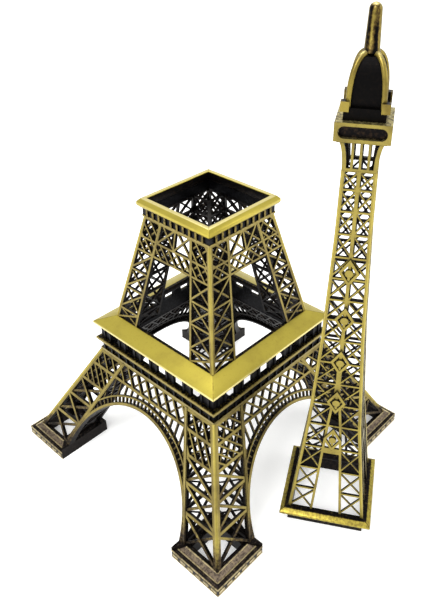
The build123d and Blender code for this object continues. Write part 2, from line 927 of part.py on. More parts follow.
def flare():
    """The open flare of ribs under the platform."""
    half = column_halves[-1]
    base = block(-half, half, -half, half, flare_z, flare_z + 1.3)
    base = base.cut(block(-half + 2.2, half - 2.2, -half + 2.2, half - 2.2, flare_z - 1, flare_z + 3))
    posts = corner_posts(flare_profile, 0.0, 2.0, flare_z, platform_z, 10)
    levels = [flare_z + flare_height * k / 10 for k in range(11)]
    points = [(-flare_profile(z), z) for z in levels]
    points += [(-flare_profile(z) + flare_rib_depth, z) for z in reversed(levels)]
    ribs = []
    for u in (-flare_rib_offset, 0.0, flare_rib_offset):
        wire = Wire.make_polygon([(u - flare_rib / 2, y, z) for y, z in points], close=True)
        rib = Solid.extrude(Face(wire), Vector(flare_rib, 0, 0))
        ribs += [turned(rib, quarter) for quarter in range(4)]
    top = flare_half
    head = block(-top, top, -top, top, platform_z - 0.8, platform_z)
    return one(base.fuse(*posts, *ribs, head))


def platform():
    """The square platform with a rounded slot sunk in each side."""
    half = platform_half
    body = block(-half, half, -half, half, platform_z, platform_top_z)
    middle = platform_z + platform_height / 2
    radius = slot_height / 2
    reach = slot_length / 2 - radius
    slot = block(-reach, reach, -half - 1, -half + slot_depth, middle - radius, middle + radius)
    for side in (-1, 1):
        end = Solid.make_cylinder(radius, slot_depth + 1)
        frame = Plane(origin=(side * reach, -half + slot_depth, middle), x_dir=(1, 0, 0), z_dir=(0, -1, 0))
        slot = slot.fuse(end.moved(frame.location))
    for quarter in range(4):
        body = one(body.cut(turned(slot, quarter)))
    return body


def dome_base():
    """The square block on the platform, with a capital at each corner."""
    half = block_half
    body = block(-half, half, -half, half, platform_top_z, dome_z)
    z0 = platform_top_z + capital_rise
    capitals = []
    for sx in (-1, 1):
        for sy in (-1, 1):
            x = sx * (capital_half - capital_side / 2)
            y = sy * (capital_half - capital_side / 2)
            r = capital_side / 2
            capitals.append(block(x - r, x + r, y - r, y + r, z0, z0 + capital_height))
    return body, capitals


def dome_core():
    """The dark four-sided vault inside the dome ribs."""
    steps = 16
    levels = [dome_z + dome_height * k / steps for k in range(steps + 1)]
    points = [(dome_profile(z) - dome_recess, z) for z in levels]
    points += [(-dome_profile(z) + dome_recess, z) for z in reversed(levels)]
    wire = Wire.make_polygon([(x, -base_half, z) for x, z in points], close=True)
    vault = Solid.extrude(Face(wire), Vector(0, 2 * base_half, 0))
    return one(vault.intersect(turned(vault, 1)))


def spire():
    """The blunt tapered spire."""
    z0 = dome_z + dome_height
    z1 = z0 + spire_height
    profile = [(0, z0), (spire_radius, z0), (spire_tip_radius, z1)]
    for k in range(1, 9):
        angle = math.pi / 2 * k / 8
        profile.append((spire_tip_radius * math.cos(angle), z1 + spire_tip_radius * math.sin(angle)))
    points = [(max(r, 0.0), 0, z) for r, z in profile]
    face = Face(Wire.make_polygon(points, close=True))
    return Solid.revolve(face, 360, Axis.Z)


# ---------------------------------------------------------------------- write out
base_plinth = plinth()
base_leg = low_leg()
base_arch = arch_facing()
gallery = gallery_side()
deck = deck_side()
stage_leg = high_leg()
girder = stage_girder()
cornice = cornice_side()
ring = ring_side()
for quarter in range(4):
    corner = CORNERS[quarter]
    side = SIDES[quarter]
    save(turned(base_plinth, quarter), "plinth_" + corner)
    save(turned(base_leg, quarter), "leg_" + corner)
    save(turned(base_arch, quarter), "arch_" + side)
    save(turned(gallery, quarter), "gallery_" + side)
    save(turned(deck, quarter), "deck_" + side)
    save(turned(stage_leg, quarter), "stage_leg_" + corner)
    save(turned(girder, quarter), "stage_girder_" + side)
    save(turned(cornice, quarter), "cornice_" + side)
    save(turned(ring, quarter), "socket_ring_" + side)

stand = Location((stand_x, stand_y, 0), (0, 0, stand_turn))
save(plug().moved(stand), "plug")
collar = collar_side()
face = column_face()
for quarter in range(4):
    save(turned(collar, quarter).moved(stand), "collar_" + SIDES[quarter])
    save(turned(face, quarter).moved(stand), "column_" + SIDES[quarter])
for n, height in enumerate(ornament_heights):
    save(ornament(height).moved(stand), "ornament_" + str(n + 1))
save(flare().moved(stand), "flare")
save(platform().moved(stand), "platform")
body, capitals = dome_base()
ribs = corner_posts(dome_profile, 0.0, dome_rib, dome_z, dome_z + dome_height, 16)
core = dome_core()
shell = ribs[0].fuse(*ribs[1:])
shell = shell.cut(core)
for capital in capitals:
    shell = shell.cut(capital)
base = one(body.fuse(*capitals).cut(core))
save(base.moved(stand), "dome_base")
save(core.moved(stand), "dome_core")
for n, rib in enumerate(sorted(shell.solids(), key=lambda s: -s.volume)[:4]):
    save(rib.moved(stand), "dome_rib_" + str(n + 1))
save(spire().moved(stand), "spire")
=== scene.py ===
"""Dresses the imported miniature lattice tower: aged gold castings on a pale floor."""

import logging
import math
from dataclasses import dataclass, field
from enum import Enum
from typing import Dict, Optional, Sequence, Tuple

import bmesh
import bpy
from mathutils import Matrix, Vector

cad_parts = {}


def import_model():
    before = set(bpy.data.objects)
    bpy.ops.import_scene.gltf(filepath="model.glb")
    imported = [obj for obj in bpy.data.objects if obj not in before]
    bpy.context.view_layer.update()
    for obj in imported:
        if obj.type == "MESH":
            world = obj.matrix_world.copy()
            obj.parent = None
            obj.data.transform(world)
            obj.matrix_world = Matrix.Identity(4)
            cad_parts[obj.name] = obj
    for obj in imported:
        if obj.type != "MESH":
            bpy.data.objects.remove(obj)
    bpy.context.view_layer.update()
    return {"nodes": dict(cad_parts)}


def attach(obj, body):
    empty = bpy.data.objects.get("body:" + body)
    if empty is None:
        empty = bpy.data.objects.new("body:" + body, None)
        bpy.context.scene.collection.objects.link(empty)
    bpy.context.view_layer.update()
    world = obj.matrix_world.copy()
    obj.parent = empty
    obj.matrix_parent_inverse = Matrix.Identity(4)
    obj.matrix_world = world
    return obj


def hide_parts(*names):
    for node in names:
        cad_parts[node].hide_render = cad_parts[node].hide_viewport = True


log = logging.getLogger("miniature_tower")

MM = 0.001
Colour = Tuple[float, float, float, float]
Socket = bpy.types.NodeSocket
Masks = Tuple[Socket, Optional[Socket]]
Section = Tuple[Tuple[float, float], ...]
SIDES = ("front", "right", "back", "left")
QUARTERS = ((1, 1), (-1, 1), (-1, -1), (1, -1))
MERGE_MM = 0.001


def linear(hex_colour: str) -> Colour:
    """Turns an sRGB hex colour into the linear colour that a shader takes.

    Args:
        hex_colour: Six hex digits, with or without a leading hash.

    Returns:
        Linear red, green, blue and an alpha of one.
    """
    digits = hex_colour.lstrip("#")
    channels = []
    for start in (0, 2, 4):
        value = int(digits[start:start + 2], 16) / 255
        channels.append(value / 12.92 if value <= 0.04045 else ((value + 0.055) / 1.055) ** 2.4)
    return channels[0], channels[1], channels[2], 1.0


def add_node(
    tree: bpy.types.NodeTree,
    kind: str,
    settings: Optional[Dict[str, object]] = None,
    inputs: Optional[Dict[object, object]] = None,
) -> bpy.types.Node:
    """Adds one node to a tree, with its settings and its inputs.

    Args:
        tree: The node tree.
        kind: The node's type name.
        settings: Attributes to set on the node.
        inputs: Input name or index to a value, or to the socket that feeds it.

    Returns:
        The new node.
    """
    node = tree.nodes.new(kind)
    for name, value in (settings or {}).items():
        setattr(node, name, value)
    for key, value in (inputs or {}).items():
        if isinstance(value, bpy.types.NodeSocket):
            tree.links.new(value, node.inputs[key])
        else:
            node.inputs[key].default_value = value
    return node


class Stand(Enum):
    """Where a body's own frame stands: (x mm, y mm, turn in degrees)."""

    LOWER = (0.0, 0.0, 0.0)
    UPPER = (5.5, -99.3, -60.5)


@dataclass(frozen=True)
class Plane:
    """A leaning outer face: half width at its foot and head, and their heights, in mm."""

    foot_half: float
    foot_z: float
    head_half: float
    head_z: float

    def slope(self) -> float:
        """Change of half width per mm of height."""
        return (self.head_half - self.foot_half) / (self.head_z - self.foot_z)


LOWER_LEG = (Plane(88.8, 8.6, 53.5, 76.2),)
UPPER_LEG = (Plane(44.3, 103.4, 27.8, 176.7),)
COLUMN = (
    Plane(23.3, 12.2, 15.6, 78.0),
    Plane(15.6, 78.0, 11.6, 137.5),
    Plane(11.6, 137.5, 9.0, 202.5),
    Plane(9.0, 202.5, 8.4, 236.7),
)


@dataclass
class Graph:
    """The measured quantities of a casting, as sockets of one node tree, in mm."""

    tree: bpy.types.NodeTree
    stand: Stand
    point: Socket = field(init=False)
    x: Socket = field(init=False)
    y: Socket = field(init=False)
    z: Socket = field(init=False)
    across: Socket = field(init=False)
    outward: Socket = field(init=False)
    upward: Socket = field(init=False)
    mitre: Socket = field(init=False)

    def __post_init__(self) -> None:
        """Builds the place and direction of the surface in the casting's own frame."""
        place_x, place_y, turn = self.stand.value
        coordinates = add_node(self.tree, "ShaderNodeTexCoord")
        place = add_node(
            self.tree, "ShaderNodeMapping", {"vector_type": "TEXTURE"},
            {"Vector": coordinates.outputs["Object"], "Location": (place_x * MM, place_y * MM, 0.0),
             "Rotation": (0.0, 0.0, math.radians(turn)), "Scale": (MM, MM, MM)},
        )
        self.point = place.outputs[0]
        facing = add_node(
            self.tree, "ShaderNodeMapping", {"vector_type": "VECTOR"},
            {"Vector": coordinates.outputs["Normal"], "Rotation": (0.0, 0.0, -math.radians(turn))},
        )
        split = add_node(self.tree, "ShaderNodeSeparateXYZ", inputs={0: self.point})
        turned = add_node(self.tree, "ShaderNodeSeparateXYZ", inputs={0: facing.outputs[0]})
        self.x, self.y, self.z = split.outputs[0], split.outputs[1], split.outputs[2]
        self.upward = turned.outputs[2]
        wide = self.math("ABSOLUTE", self.x)
        deep = self.math("ABSOLUTE", self.y)
        self.across = self.math("MAXIMUM", wide, deep)
        out_x = self.math("MULTIPLY", self.math("SIGN", self.x), turned.outputs[0])
        out_y = self.math("MULTIPLY", self.math("SIGN", self.y), turned.outputs[1])
        on_side = self.math("GREATER_THAN", wide, deep)
        self.outward = self.blend(on_side, out_y, out_x)
        self.mitre = self.math("ABSOLUTE", self.math("SUBTRACT", wide, deep))

    def math(self, operation: str, *values: object) -> Socket:
        """Adds a math node on the given values and returns its result.

        Args:
            operation: The node's operation.
            values: Its inputs, in order.

        Returns:
            The result.
        """
        return add_node(
            self.tree, "ShaderNodeMath", {"operation": operation}, dict(enumerate(values))
        ).outputs[0]

    def blend(self, factor: object, low: object, high: object) -> Socket:
        """Goes from low to high as the factor goes from zero to one."""
        step = self.math("SUBTRACT", high, low)
        return self.math("ADD", low, self.math("MULTIPLY", step, factor))

    def fade(self, value: object, start: float, end: float, low: float = 0.0, high: float = 1.0) -> Socket:
        """Goes smoothly from low to high as a value goes from start to end.

        Args:
            value: What is measured.
            start: Where the fade starts.
            end: Where it ends.
            low: The result at the start.
            high: The result at the end.

        Returns:
            The result, held level beyond both ends.
        """
        return add_node(
            self.tree, "ShaderNodeMapRange", {"interpolation_type": "SMOOTHSTEP"},
            {"Value": value, "From Min": start, "From Max": end, "To Min": low, "To Max": high},
        ).outputs[0]

    def noise(
        self,
        size_mm: float,
        detail: float = 4.0,
        roughness: float = 0.6,
        stretch: Sequence[float] = (1.0, 1.0, 1.0),
    ) -> Socket:
        """Soft noise whose patches are about size_mm across.

        Args:
            size_mm: Size of one patch.
            detail: Octaves of finer noise.
            roughness: Weight of the finer octaves.
            stretch: Scale along each axis.

        Returns:
            The noise, from zero to one.
        """
        place = add_node(
            self.tree, "ShaderNodeMapping", {"vector_type": "POINT"},
            {"Vector": self.point, "Scale": tuple(stretch)},
        )
        return add_node(
            self.tree, "ShaderNodeTexNoise", {"noise_dimensions": "3D"},
            {"Vector": place.outputs[0], "Scale": 1.0 / size_mm, "Detail": detail, "Roughness": roughness},
        ).outputs["Fac"]

    def rounding(self, reach_mm: float) -> Socket:
        """Painted shade along edges: one on the flat of a face, falling to a little over an edge that the
        casting rounds off.

        Args:
            reach_mm: How far in from the edge the painted shade goes.

        Returns:
            The mask.
        """
        soft = add_node(self.tree, "ShaderNodeBevel", {"samples": 4}, {"Radius": reach_mm * MM})
        flat = add_node(self.tree, "ShaderNodeNewGeometry")
        same = add_node(
            self.tree, "ShaderNodeVectorMath", {"operation": "DOT_PRODUCT"},
            {0: soft.outputs[0], 1: flat.outputs["True Normal"]},
        )
        return self.fade(same.outputs["Value"], 0.82, 0.985, 0.25, 1.0)

    def mix(self, factor: object, low: object, high: object) -> Socket:
        """Mixes two colours.

        Args:
            factor: The share of the second colour.
            low: The first colour.
            high: The second colour.

        Returns:
            The mixed colour.
        """
        return add_node(
            self.tree, "ShaderNodeMix", {"data_type": "RGBA"}, {0: factor, 6: low, 7: high}
        ).outputs[2]

    def depth(self, planes: Sequence[Plane]) -> Socket:
        """How far the surface lies behind the leaning outer faces.

        Args:
            planes: The stretches of the outer face, from the bottom up.

        Returns:
            The depth in mm.
        """
        half: Optional[Socket] = None
        for plane in planes:
            rise = self.math("MULTIPLY", self.z, plane.slope())
            reach = self.math("ADD", rise, plane.foot_half - plane.slope() * plane.foot_z)
            half = reach if half is None else self.math("MAXIMUM", half, reach)
        return self.math("SUBTRACT", half, self.across)


@dataclass(frozen=True)
class AgedGilt:
    """Zinc casting, antique brass plated and dark-toned, with gold on its outer faces.

    The outer faces read as olive gold, partly worn plating and partly painted light. The openings and the
    sides of the bars read as near-black brown, partly dark toning and partly painted shade.
    """

    gold: str = "#AE9F42"
    # The pale gold of the painted highlights.
    bright: str = "#D6C986"
    shade: str = "#7A6A30"
    brown: str = "#35281C"
    dark: str = "#0B090A"
    roughness: float = 0.36
    patches: float = 0.3
    edge_shade_mm: float = 0.0
    rub_mm: float = 1.7
    tarnish_mm: float = 16.0
    # The fine grain of the cast skin, which breaks up the highlights.
    skin_mm: float = 0.45
    skin_depth_mm: float = 0.08
    # A little short of full metal, which keeps some colour in the dark areas.
    metallic: float = 0.92

    def dress(self, graph: Graph, wear_and_light: Socket, painted_highlight: Optional[Socket] = None) -> bpy.types.Node:
        """Adds the shader for a casting whose mask of worn and lit gold is given.

        Args:
            graph: The casting's measured quantities.
            wear_and_light: One where the gold shows, partly worn plating and partly painted light; zero
                where it stays dark, partly toning and partly painted shade.
            painted_highlight: One where a painted highlight makes the gold palest.

        Returns:
            The Principled BSDF node.
        """
        wear = graph.noise(self.rub_mm, 4.0, 0.65)
        grime = graph.noise(self.tarnish_mm, 4.0, 0.6)
        # Where the mask is high the gold shows, partly worn plating and partly painted light; where it is
        # low, dark toning and painted shade.
        mask = graph.math("ADD", wear_and_light, graph.fade(wear, 0.3, 0.7, -0.28, 0.1))
        # Painted shade along the edges, standing in for the shading of rounded edges.
        if self.edge_shade_mm:
            mask = graph.math("MULTIPLY", mask, graph.rounding(self.edge_shade_mm))
        tarnish = graph.fade(grime, 0.4, 0.75, 0.0, self.patches)
        gold = graph.mix(tarnish, linear(self.gold), linear(self.shade))
        # Painted highlight: the gold goes pale where this mask is one.
        if painted_highlight is not None:
            gold = graph.mix(painted_highlight, gold, linear(self.bright))
        brown = graph.mix(graph.fade(wear, 0.45, 0.7, 0.0, 0.55), linear(self.dark), linear(self.brown))
        low = graph.mix(graph.fade(mask, 0.08, 0.5), brown, linear(self.shade))
        colour = graph.mix(graph.fade(mask, 0.4, 0.85), low, gold)
        grain = graph.noise(self.skin_mm, 3.0, 0.7)
        roughness = graph.math(
            "ADD", graph.fade(mask, 0.1, 0.8, 0.44, self.roughness), graph.fade(grain, 0.3, 0.7, -0.06, 0.08)
        )
        bump = add_node(
            graph.tree, "ShaderNodeBump",
            inputs={"Strength": 0.22, "Distance": self.skin_depth_mm * MM, "Height": grain},
        )
        return add_node(
            graph.tree, "ShaderNodeBsdfPrincipled",
            inputs={
                "Base Color": colour,
                "Metallic": self.metallic,
                "Roughness": roughness,
                "Normal": bump.outputs[0],
            },
        )


class Region(Enum):
    """Parts of the model whose worn and lit areas lie differently."""

    LOWER_LATTICE = "lower_lattice"
    ARCH = "arch"
    UPPER_LATTICE = "upper_lattice"
    PLINTH = "plinth"
    GALLERY = "gallery"
    DECK = "deck"
    CORNICE = "cornice"
    RING = "ring"
    COLUMN = "column"
    COLLAR = "collar"
    PLUG = "plug"
    ORNAMENT = "ornament"
    FLARE = "flare"
    PLATFORM = "platform"
    DOME_BASE = "dome_base"
    DOME_CORE = "dome_core"
    DOME_RIB = "dome_rib"
    SPIRE = "spire"
    BEAD = "corner_bead"
    PLINTH_TRIM = "plinth_trim"
    COLUMN_BEAD = "column_bead"


@dataclass(frozen=True)
class WearAndLightMasks:
    """Where each part shows gold, partly worn plating and partly painted light and shade, and where a
    painted highlight lightens it.

    Heights and distances from the middle are in mm.
    """

    g: Graph
    leg_foot_z: Tuple[float, float] = (10.0, 26.0)
    bead_foot_z: Tuple[float, float] = (10.0, 24.0)
    column_bead_z: Tuple[float, float] = (12.0, 16.0)
    ledge_foot_z: Tuple[float, float] = (83.2, 84.2)
    ledge_head_z: Tuple[float, float] = (87.2, 86.6)
    rail_z: Tuple[float, float] = (78.2, 77.6)
    gallery_face: Tuple[float, float] = (50.5, 52.0)
    deck_rim: Tuple[float, float] = (55.0, 55.6)
    deck_land: Tuple[float, float] = (44.6, 43.9)
    cornice_band_z: Tuple[float, float] = (178.3, 177.6)
    tooth_face: Tuple[float, float] = (28.5, 29.0)
    flare_face: Tuple[float, float] = (7.6, 8.2)
    platform_face: Tuple[float, float] = (12.4, 12.9)
    capital_face: Tuple[float, float] = (10.0, 10.6)
    plinth_grain_mm: float = 0.9
    trim_grain_mm: float = 2.0
    collar_grain_mm: float = 1.6
    spire_streak_mm: float = 4.0

    def masks(self, region: Region) -> Masks:
        """The masks of a part.

        Args:
            region: The part of the model.

        Returns:
            The mask of worn and lit gold and, where there is one, the mask of the painted highlight.
        """
        makers = {
            Region.LOWER_LATTICE: self.lower_lattice,
            Region.ARCH: self.lower_lattice,
            Region.UPPER_LATTICE: self.upper_lattice,
            Region.PLINTH: self.plinth,
            Region.PLINTH_TRIM: self.plinth_trim,
            Region.BEAD: self.bead,
            Region.COLUMN_BEAD: self.column_bead,
            Region.GALLERY: self.gallery,
            Region.DECK: self.deck,
            Region.CORNICE: self.cornice,
            Region.RING: self.ring,
            Region.COLUMN: self.column,
            Region.COLLAR: self.collar,
            Region.PLUG: self.plug,
            Region.ORNAMENT: self.ornament,
            Region.FLARE: self.flare,
            Region.PLATFORM: self.platform,
            Region.DOME_BASE: self.dome_base,
            Region.DOME_CORE: self.dome_core,
            Region.DOME_RIB: self.dome_rib,
            Region.SPIRE: self.spire,
        }
        return makers[region]()

    def facing(self) -> Socket:
        """One on surfaces that face outwards."""
        return self.g.fade(self.g.outward, 0.45, 0.8)

    def bars(self, front: Socket, depth: Socket) -> Masks:
        """Lattice bars: gold in front, with a little painted light on the tops of their sides.

        Args:
            front: The mask of the bars' fronts.
            depth: Depth behind the outer face, in mm.

        Returns:
            The mask of worn and lit gold, and the mask of the painted highlight or None.
        """
        g = self.g
        # Painted light on the upward sides of the bars, fading the deeper they lie behind the outer face.
        top = g.fade(g.upward, 0.3, 0.9, 0.0, 0.28)
        side = g.math("MULTIPLY", top, g.fade(depth, 0.5, 3.0, 1.0, 0.2))
        return g.math("MAXIMUM", front, side), None

    def lower_lattice(self) -> Masks:
        """Legs and arches, which darken towards the plinths.

        Returns:
            The mask of worn and lit gold, and the mask of the painted highlight or None.
        """
        g = self.g
        depth = g.depth(LOWER_LEG)
        # Darker the deeper a face lies behind the outer face: partly dark toning, partly painted shade in
        # the recesses.
        front = g.math("MULTIPLY", self.facing(), g.fade(depth, 0.3, 1.3, 1.0, 0.3))
        front = g.math("MULTIPLY", front, g.fade(g.z, *self.leg_foot_z, 0.35, 1.0))
        return self.bars(front, depth)

    def upper_lattice(self) -> Masks:
        """Second-stage legs and girders.

        Returns:
            The mask of worn and lit gold, and the mask of the painted highlight or None.
        """
        g = self.g
        depth = g.depth(UPPER_LEG)
        # Darker the deeper a face lies behind the outer face: partly dark toning, partly painted shade in
        # the recesses.
        front = g.math("MULTIPLY", self.facing(), g.fade(depth, 0.3, 1.2, 1.0, 0.3))
        return self.bars(front, depth)

    def column(self) -> Masks:
        """The column's faces."""
        g = self.g
        # Darker the deeper a face lies behind the outer face: partly dark toning, partly painted shade in
        # the recesses.
        return g.math("MULTIPLY", self.facing(), g.fade(g.depth(COLUMN), 0.2, 0.8, 1.0, 0.4)), None

    def plinth(self) -> Masks:
        """Plinths: painted light on the slope, broken up by worn patches, darker on the step and painted
        shade on the sides.

        Returns:
            The mask of worn and lit gold, and the mask of the painted highlight or None.
        """
        g = self.g
        worn = g.fade(g.noise(self.plinth_grain_mm, 3.0, 0.6), 0.3, 0.7, 0.4, 0.62)
        # Painted light on the sloping faces that look up; the flat step drops to 0.3 and the upright sides
        # stay dark as painted shade.
        slope = g.math("MULTIPLY", g.fade(g.upward, 0.6, 0.8), g.fade(g.upward, 0.95, 0.88, 0.3, 1.0))
        return g.math("MULTIPLY", slope, worn), None

    def plinth_trim(self) -> Masks:
        """Rims and dashes, which a hand reaches everywhere."""
        g = self.g
        return g.fade(g.noise(self.trim_grain_mm, 3.0, 0.6), 0.3, 0.7, 0.6, 1.0), None

    def bead(self) -> Masks:
        """Beads down the legs, darker at the foot."""
        return self.g.fade(self.g.z, *self.bead_foot_z, 0.3, 1.0), None

    def column_bead(self) -> Masks:
        """Beads down the column."""
        return self.g.fade(self.g.z, *self.column_bead_z, 0.8, 1.0), None

    def gallery(self) -> Masks:
        """Gallery walls: gold only on the ledge and the low rail, with painted light on their tops.

        Returns:
            The mask of worn and lit gold, and the mask of the painted highlight or None.
        """
        g = self.g
        ledge = g.math("MULTIPLY", g.fade(g.z, *self.ledge_foot_z), g.fade(g.z, *self.ledge_head_z))
        band = g.math("MAXIMUM", ledge, g.fade(g.z, *self.rail_z))
        # Half gold on faces that look up: painted light on the tops of the ledge and the rail.
        face = g.math("MAXIMUM", self.facing(), g.fade(g.upward, 0.5, 0.9, 0.0, 0.5))
        return g.math("MULTIPLY", band, g.math("MULTIPLY", face, g.fade(g.across, *self.gallery_face))), None

    def deck(self) -> Masks:
        """The deck: gold slope and rim, painted light on the slope and a painted highlight on the rim, a
        dark land round the well and dark mitres.

        Returns:
            The mask of worn and lit gold, and the mask of the painted highlight or None.
        """
        g = self.g
        # Painted light on the faces that look up; faces that look down stay dark as painted shade.
        top = g.fade(g.upward, 0.1, 0.5)
        # The outward rim is gold and carries a painted highlight.
        rim = g.math("MULTIPLY", g.fade(g.across, *self.deck_rim), g.fade(g.outward, 0.3, 0.8))
        land = g.fade(g.across, *self.deck_land, 0.0, 0.85)
        mitre = g.fade(g.mitre, 0.35, 0.05, 0.0, 0.6)
        return g.math("SUBTRACT", g.math("MAXIMUM", top, rim), g.math("MAXIMUM", land, mitre)), rim

    def cornice(self) -> Masks:
        """The cornice: its low band, and faintly the faces of its teeth.

        Returns:
            The mask of worn and lit gold, and the mask of the painted highlight or None.
        """
        g = self.g
        low = g.fade(g.z, *self.cornice_band_z, 0.0, 0.75)
        tooth = g.math("MULTIPLY", g.fade(g.across, *self.tooth_face), 0.45)
        return g.math("MULTIPLY", g.math("MAXIMUM", low, tooth), self.facing()), None

    def ring(self) -> Masks:
        """The socket ring, with a painted highlight on its flat top and painted shade underneath.

        Returns:
            The mask of worn and lit gold, and the mask of the painted highlight or None.
        """
        g = self.g
        # Gold on faces that look out or up; faces that look down stay dark as painted shade, and the flat
        # top takes a painted highlight.
        outside = g.math("MAXIMUM", g.fade(g.outward, 0.0, 0.35), g.fade(g.upward, 0.2, 0.6))
        mitre = g.fade(g.mitre, 0.3, 0.05, 0.0, 0.45)
        mask = g.math("SUBTRACT", g.math("MULTIPLY", outside, g.fade(g.upward, -0.85, -0.5)), mitre)
        return mask, g.fade(g.upward, 0.75, 0.98)

    def collar(self) -> Masks:
        """The collar's outer bevel, with painted shade on the land inside it and underneath.

        Returns:
            The mask of worn and lit gold, and the mask of the painted highlight or None.
        """
        g = self.g
        # Gold on the outer bevel; the inward-facing land and the faces that look down stay dark as painted
        # shade.
        outside = g.math("MULTIPLY", g.fade(g.outward, 0.1, 0.4), g.fade(g.upward, -0.5, -0.1))
        worn = g.fade(g.noise(self.collar_grain_mm, 3.0, 0.6), 0.3, 0.7, 0.62, 0.84)
        outside = g.math("MULTIPLY", outside, worn)
        # A faint painted light on the flat top.
        top = g.fade(g.upward, 0.8, 0.98, 0.0, 0.12)
        mitre = g.fade(g.mitre, 0.3, 0.05, 0.0, 0.4)
        return g.math("SUBTRACT", g.math("MAXIMUM", outside, top), mitre), None

    def plug(self) -> Masks:
        """The plug, which stays dark."""
        g = self.g
        return g.math("MULTIPLY", g.fade(g.outward, 0.5, 0.9), 0.12), None

    def ornament(self) -> Masks:
        """The lozenges' raised faces."""
        return self.g.fade(self.g.outward, 0.4, 0.8), None

    def flare(self) -> Masks:
        """The flare's outer ribs."""
        g = self.g
        return g.math("MULTIPLY", g.fade(g.outward, 0.45, 0.75), g.fade(g.across, *self.flare_face)), None

    def platform(self) -> Masks:
        """The platform: gold faces round dark slots, and a pale top of painted light and a painted
        highlight.

        Returns:
            The mask of worn and lit gold, and the mask of the painted highlight or None.
        """
        g = self.g
        face = g.math("MULTIPLY", g.fade(g.outward, 0.5, 0.9), g.fade(g.across, *self.platform_face))
        # Painted light on faces that look up, with a painted highlight on the flat top.
        mask = g.math("MAXIMUM", face, g.fade(g.upward, 0.6, 0.95, 0.0, 0.7))
        return mask, g.fade(g.upward, 0.6, 0.95)

    def dome_base(self) -> Masks:
        """The dome's base: gold only on its corner blocks."""
        g = self.g
        return g.math("MULTIPLY", g.fade(g.across, *self.capital_face), g.fade(g.outward, -0.4, 0.3)), None

    def dome_core(self) -> Masks:
        """The dome's faces between the ribs, which stay dark."""
        g = self.g
        return g.math("MULTIPLY", g.fade(g.outward, 0.0, 0.9), 0.02), None

    def dome_rib(self) -> Masks:
        """The dome's ribs, gold on their outer faces, with a painted highlight where they bend over.

        Returns:
            The mask of worn and lit gold, and the mask of the painted highlight or None.
        """
        g = self.g
        # Gold on faces that look out, with painted light on faces that look up and a painted highlight where
        # the ribs bend over.
        outer = g.math("MAXIMUM", g.fade(g.outward, 0.3, 0.8), g.fade(g.upward, 0.2, 0.8, 0.0, 0.9))
        return outer, g.fade(g.upward, 0.4, 0.9, 0.0, 0.7)

    def spire(self) -> Masks:
        """The spire, with upright streaks and a painted highlight on its tip.

        Returns:
            The mask of worn and lit gold, and the mask of the painted highlight or None.
        """
        g = self.g
        streak = g.fade(g.noise(self.spire_streak_mm, 2.0, 0.5, (1.0, 1.0, 0.12)), 0.34, 0.56)
        # Painted highlight on the rounded tip, where it looks up.
        tip = g.fade(g.upward, 0.3, 0.9)
        return g.math("MAXIMUM", g.math("MULTIPLY", streak, 0.9), tip), tip


@dataclass(frozen=True)
class Dresser:
    """Makes one material for each region of the model."""

    # The deck, the ring and the collar: broad olive-gold faces, the brightest of the model.
    finish: AgedGilt = AgedGilt()
    # Bars that are gold in front and brown on their sides, partly toning and partly painted shade, with
    # painted shade along their rounded edges.
    lattice: AgedGilt = AgedGilt(gold="#8A7C46", shade="#4A3E2A", brown="#30251D", patches=0.75, edge_shade_mm=0.5)
    # The column's hatching and what it carries, a greener gold, with painted shade along its edges.
    column: AgedGilt = AgedGilt(gold="#8E803F", shade="#4E4228", patches=0.6, edge_shade_mm=0.35)
    # Gallery and cornice walls, near black with a cool cast.
    walls: AgedGilt = AgedGilt(gold="#8E8150", brown="#26262C", dark="#08080A", patches=0.4)
    # Plinths, a dull grey brown with little gold left.
    plinths: AgedGilt = AgedGilt(
        gold="#8E8060", shade="#62564A", brown="#2E2622", dark="#100C0B", patches=0.6
    )
    # Rims and dashes, pale where they stand clear of the plinths.
    trim: AgedGilt = AgedGilt(gold="#B0A27A", shade="#6E6149", brown="#4A3E34", dark="#231C18")
    # Corner beads, clear gold lines down the dark corners.
    beads: AgedGilt = AgedGilt(gold="#A19248", shade="#6A5C34", patches=0.6)
    # Dome and spire, pale gold on ribs and tip over black, the palest gold a painted highlight.
    head: AgedGilt = AgedGilt(
        gold="#8A7A38", bright="#CDBE7C", shade="#4C3D1E", brown="#110C09", dark="#050404", patches=0.7
    )

    def finish_of(self, region: Region) -> AgedGilt:
        """The finish that a region takes.

        Args:
            region: The part of the model.

        Returns:
            The finish.
        """
        if region in (Region.LOWER_LATTICE, Region.ARCH, Region.UPPER_LATTICE):
            return self.lattice
        if region in (Region.COLUMN, Region.FLARE, Region.ORNAMENT, Region.PLATFORM):
            return self.column
        if region in (Region.BEAD, Region.COLUMN_BEAD):
            return self.beads
        if region in (Region.DOME_BASE, Region.DOME_CORE, Region.DOME_RIB, Region.SPIRE):
            return self.head
        if region in (Region.GALLERY, Region.CORNICE):
            return self.walls
        if region is Region.PLINTH_TRIM:
            return self.trim
        if region is Region.PLINTH:
            return self.plinths
        return self.finish

    def material(self, region: Region) -> bpy.types.Material:
        """The material of a region, made once and shared.

        Args:
            region: The part of the model.

        Returns:
            The material.
        """
        name = "antique_brass_plate_" + region.value
        found = bpy.data.materials.get(name)
        if found is not None:
            return found
        material = bpy.data.materials.new(name)
        material.use_nodes = True
        tree = material.node_tree
        tree.nodes.clear()
        upper = region in (
            Region.COLUMN, Region.COLLAR, Region.PLUG, Region.ORNAMENT, Region.FLARE, Region.PLATFORM,
            Region.DOME_BASE, Region.DOME_CORE, Region.DOME_RIB, Region.SPIRE, Region.COLUMN_BEAD,
        )
        graph = Graph(tree, Stand.UPPER if upper else Stand.LOWER)
        wear_and_light, painted_highlight = WearAndLightMasks(graph).masks(region)
        shader = self.finish_of(region).dress(graph, wear_and_light, painted_highlight)
        add_node(tree, "ShaderNodeOutputMaterial", inputs={"Surface": shader.outputs[0]})
        return material


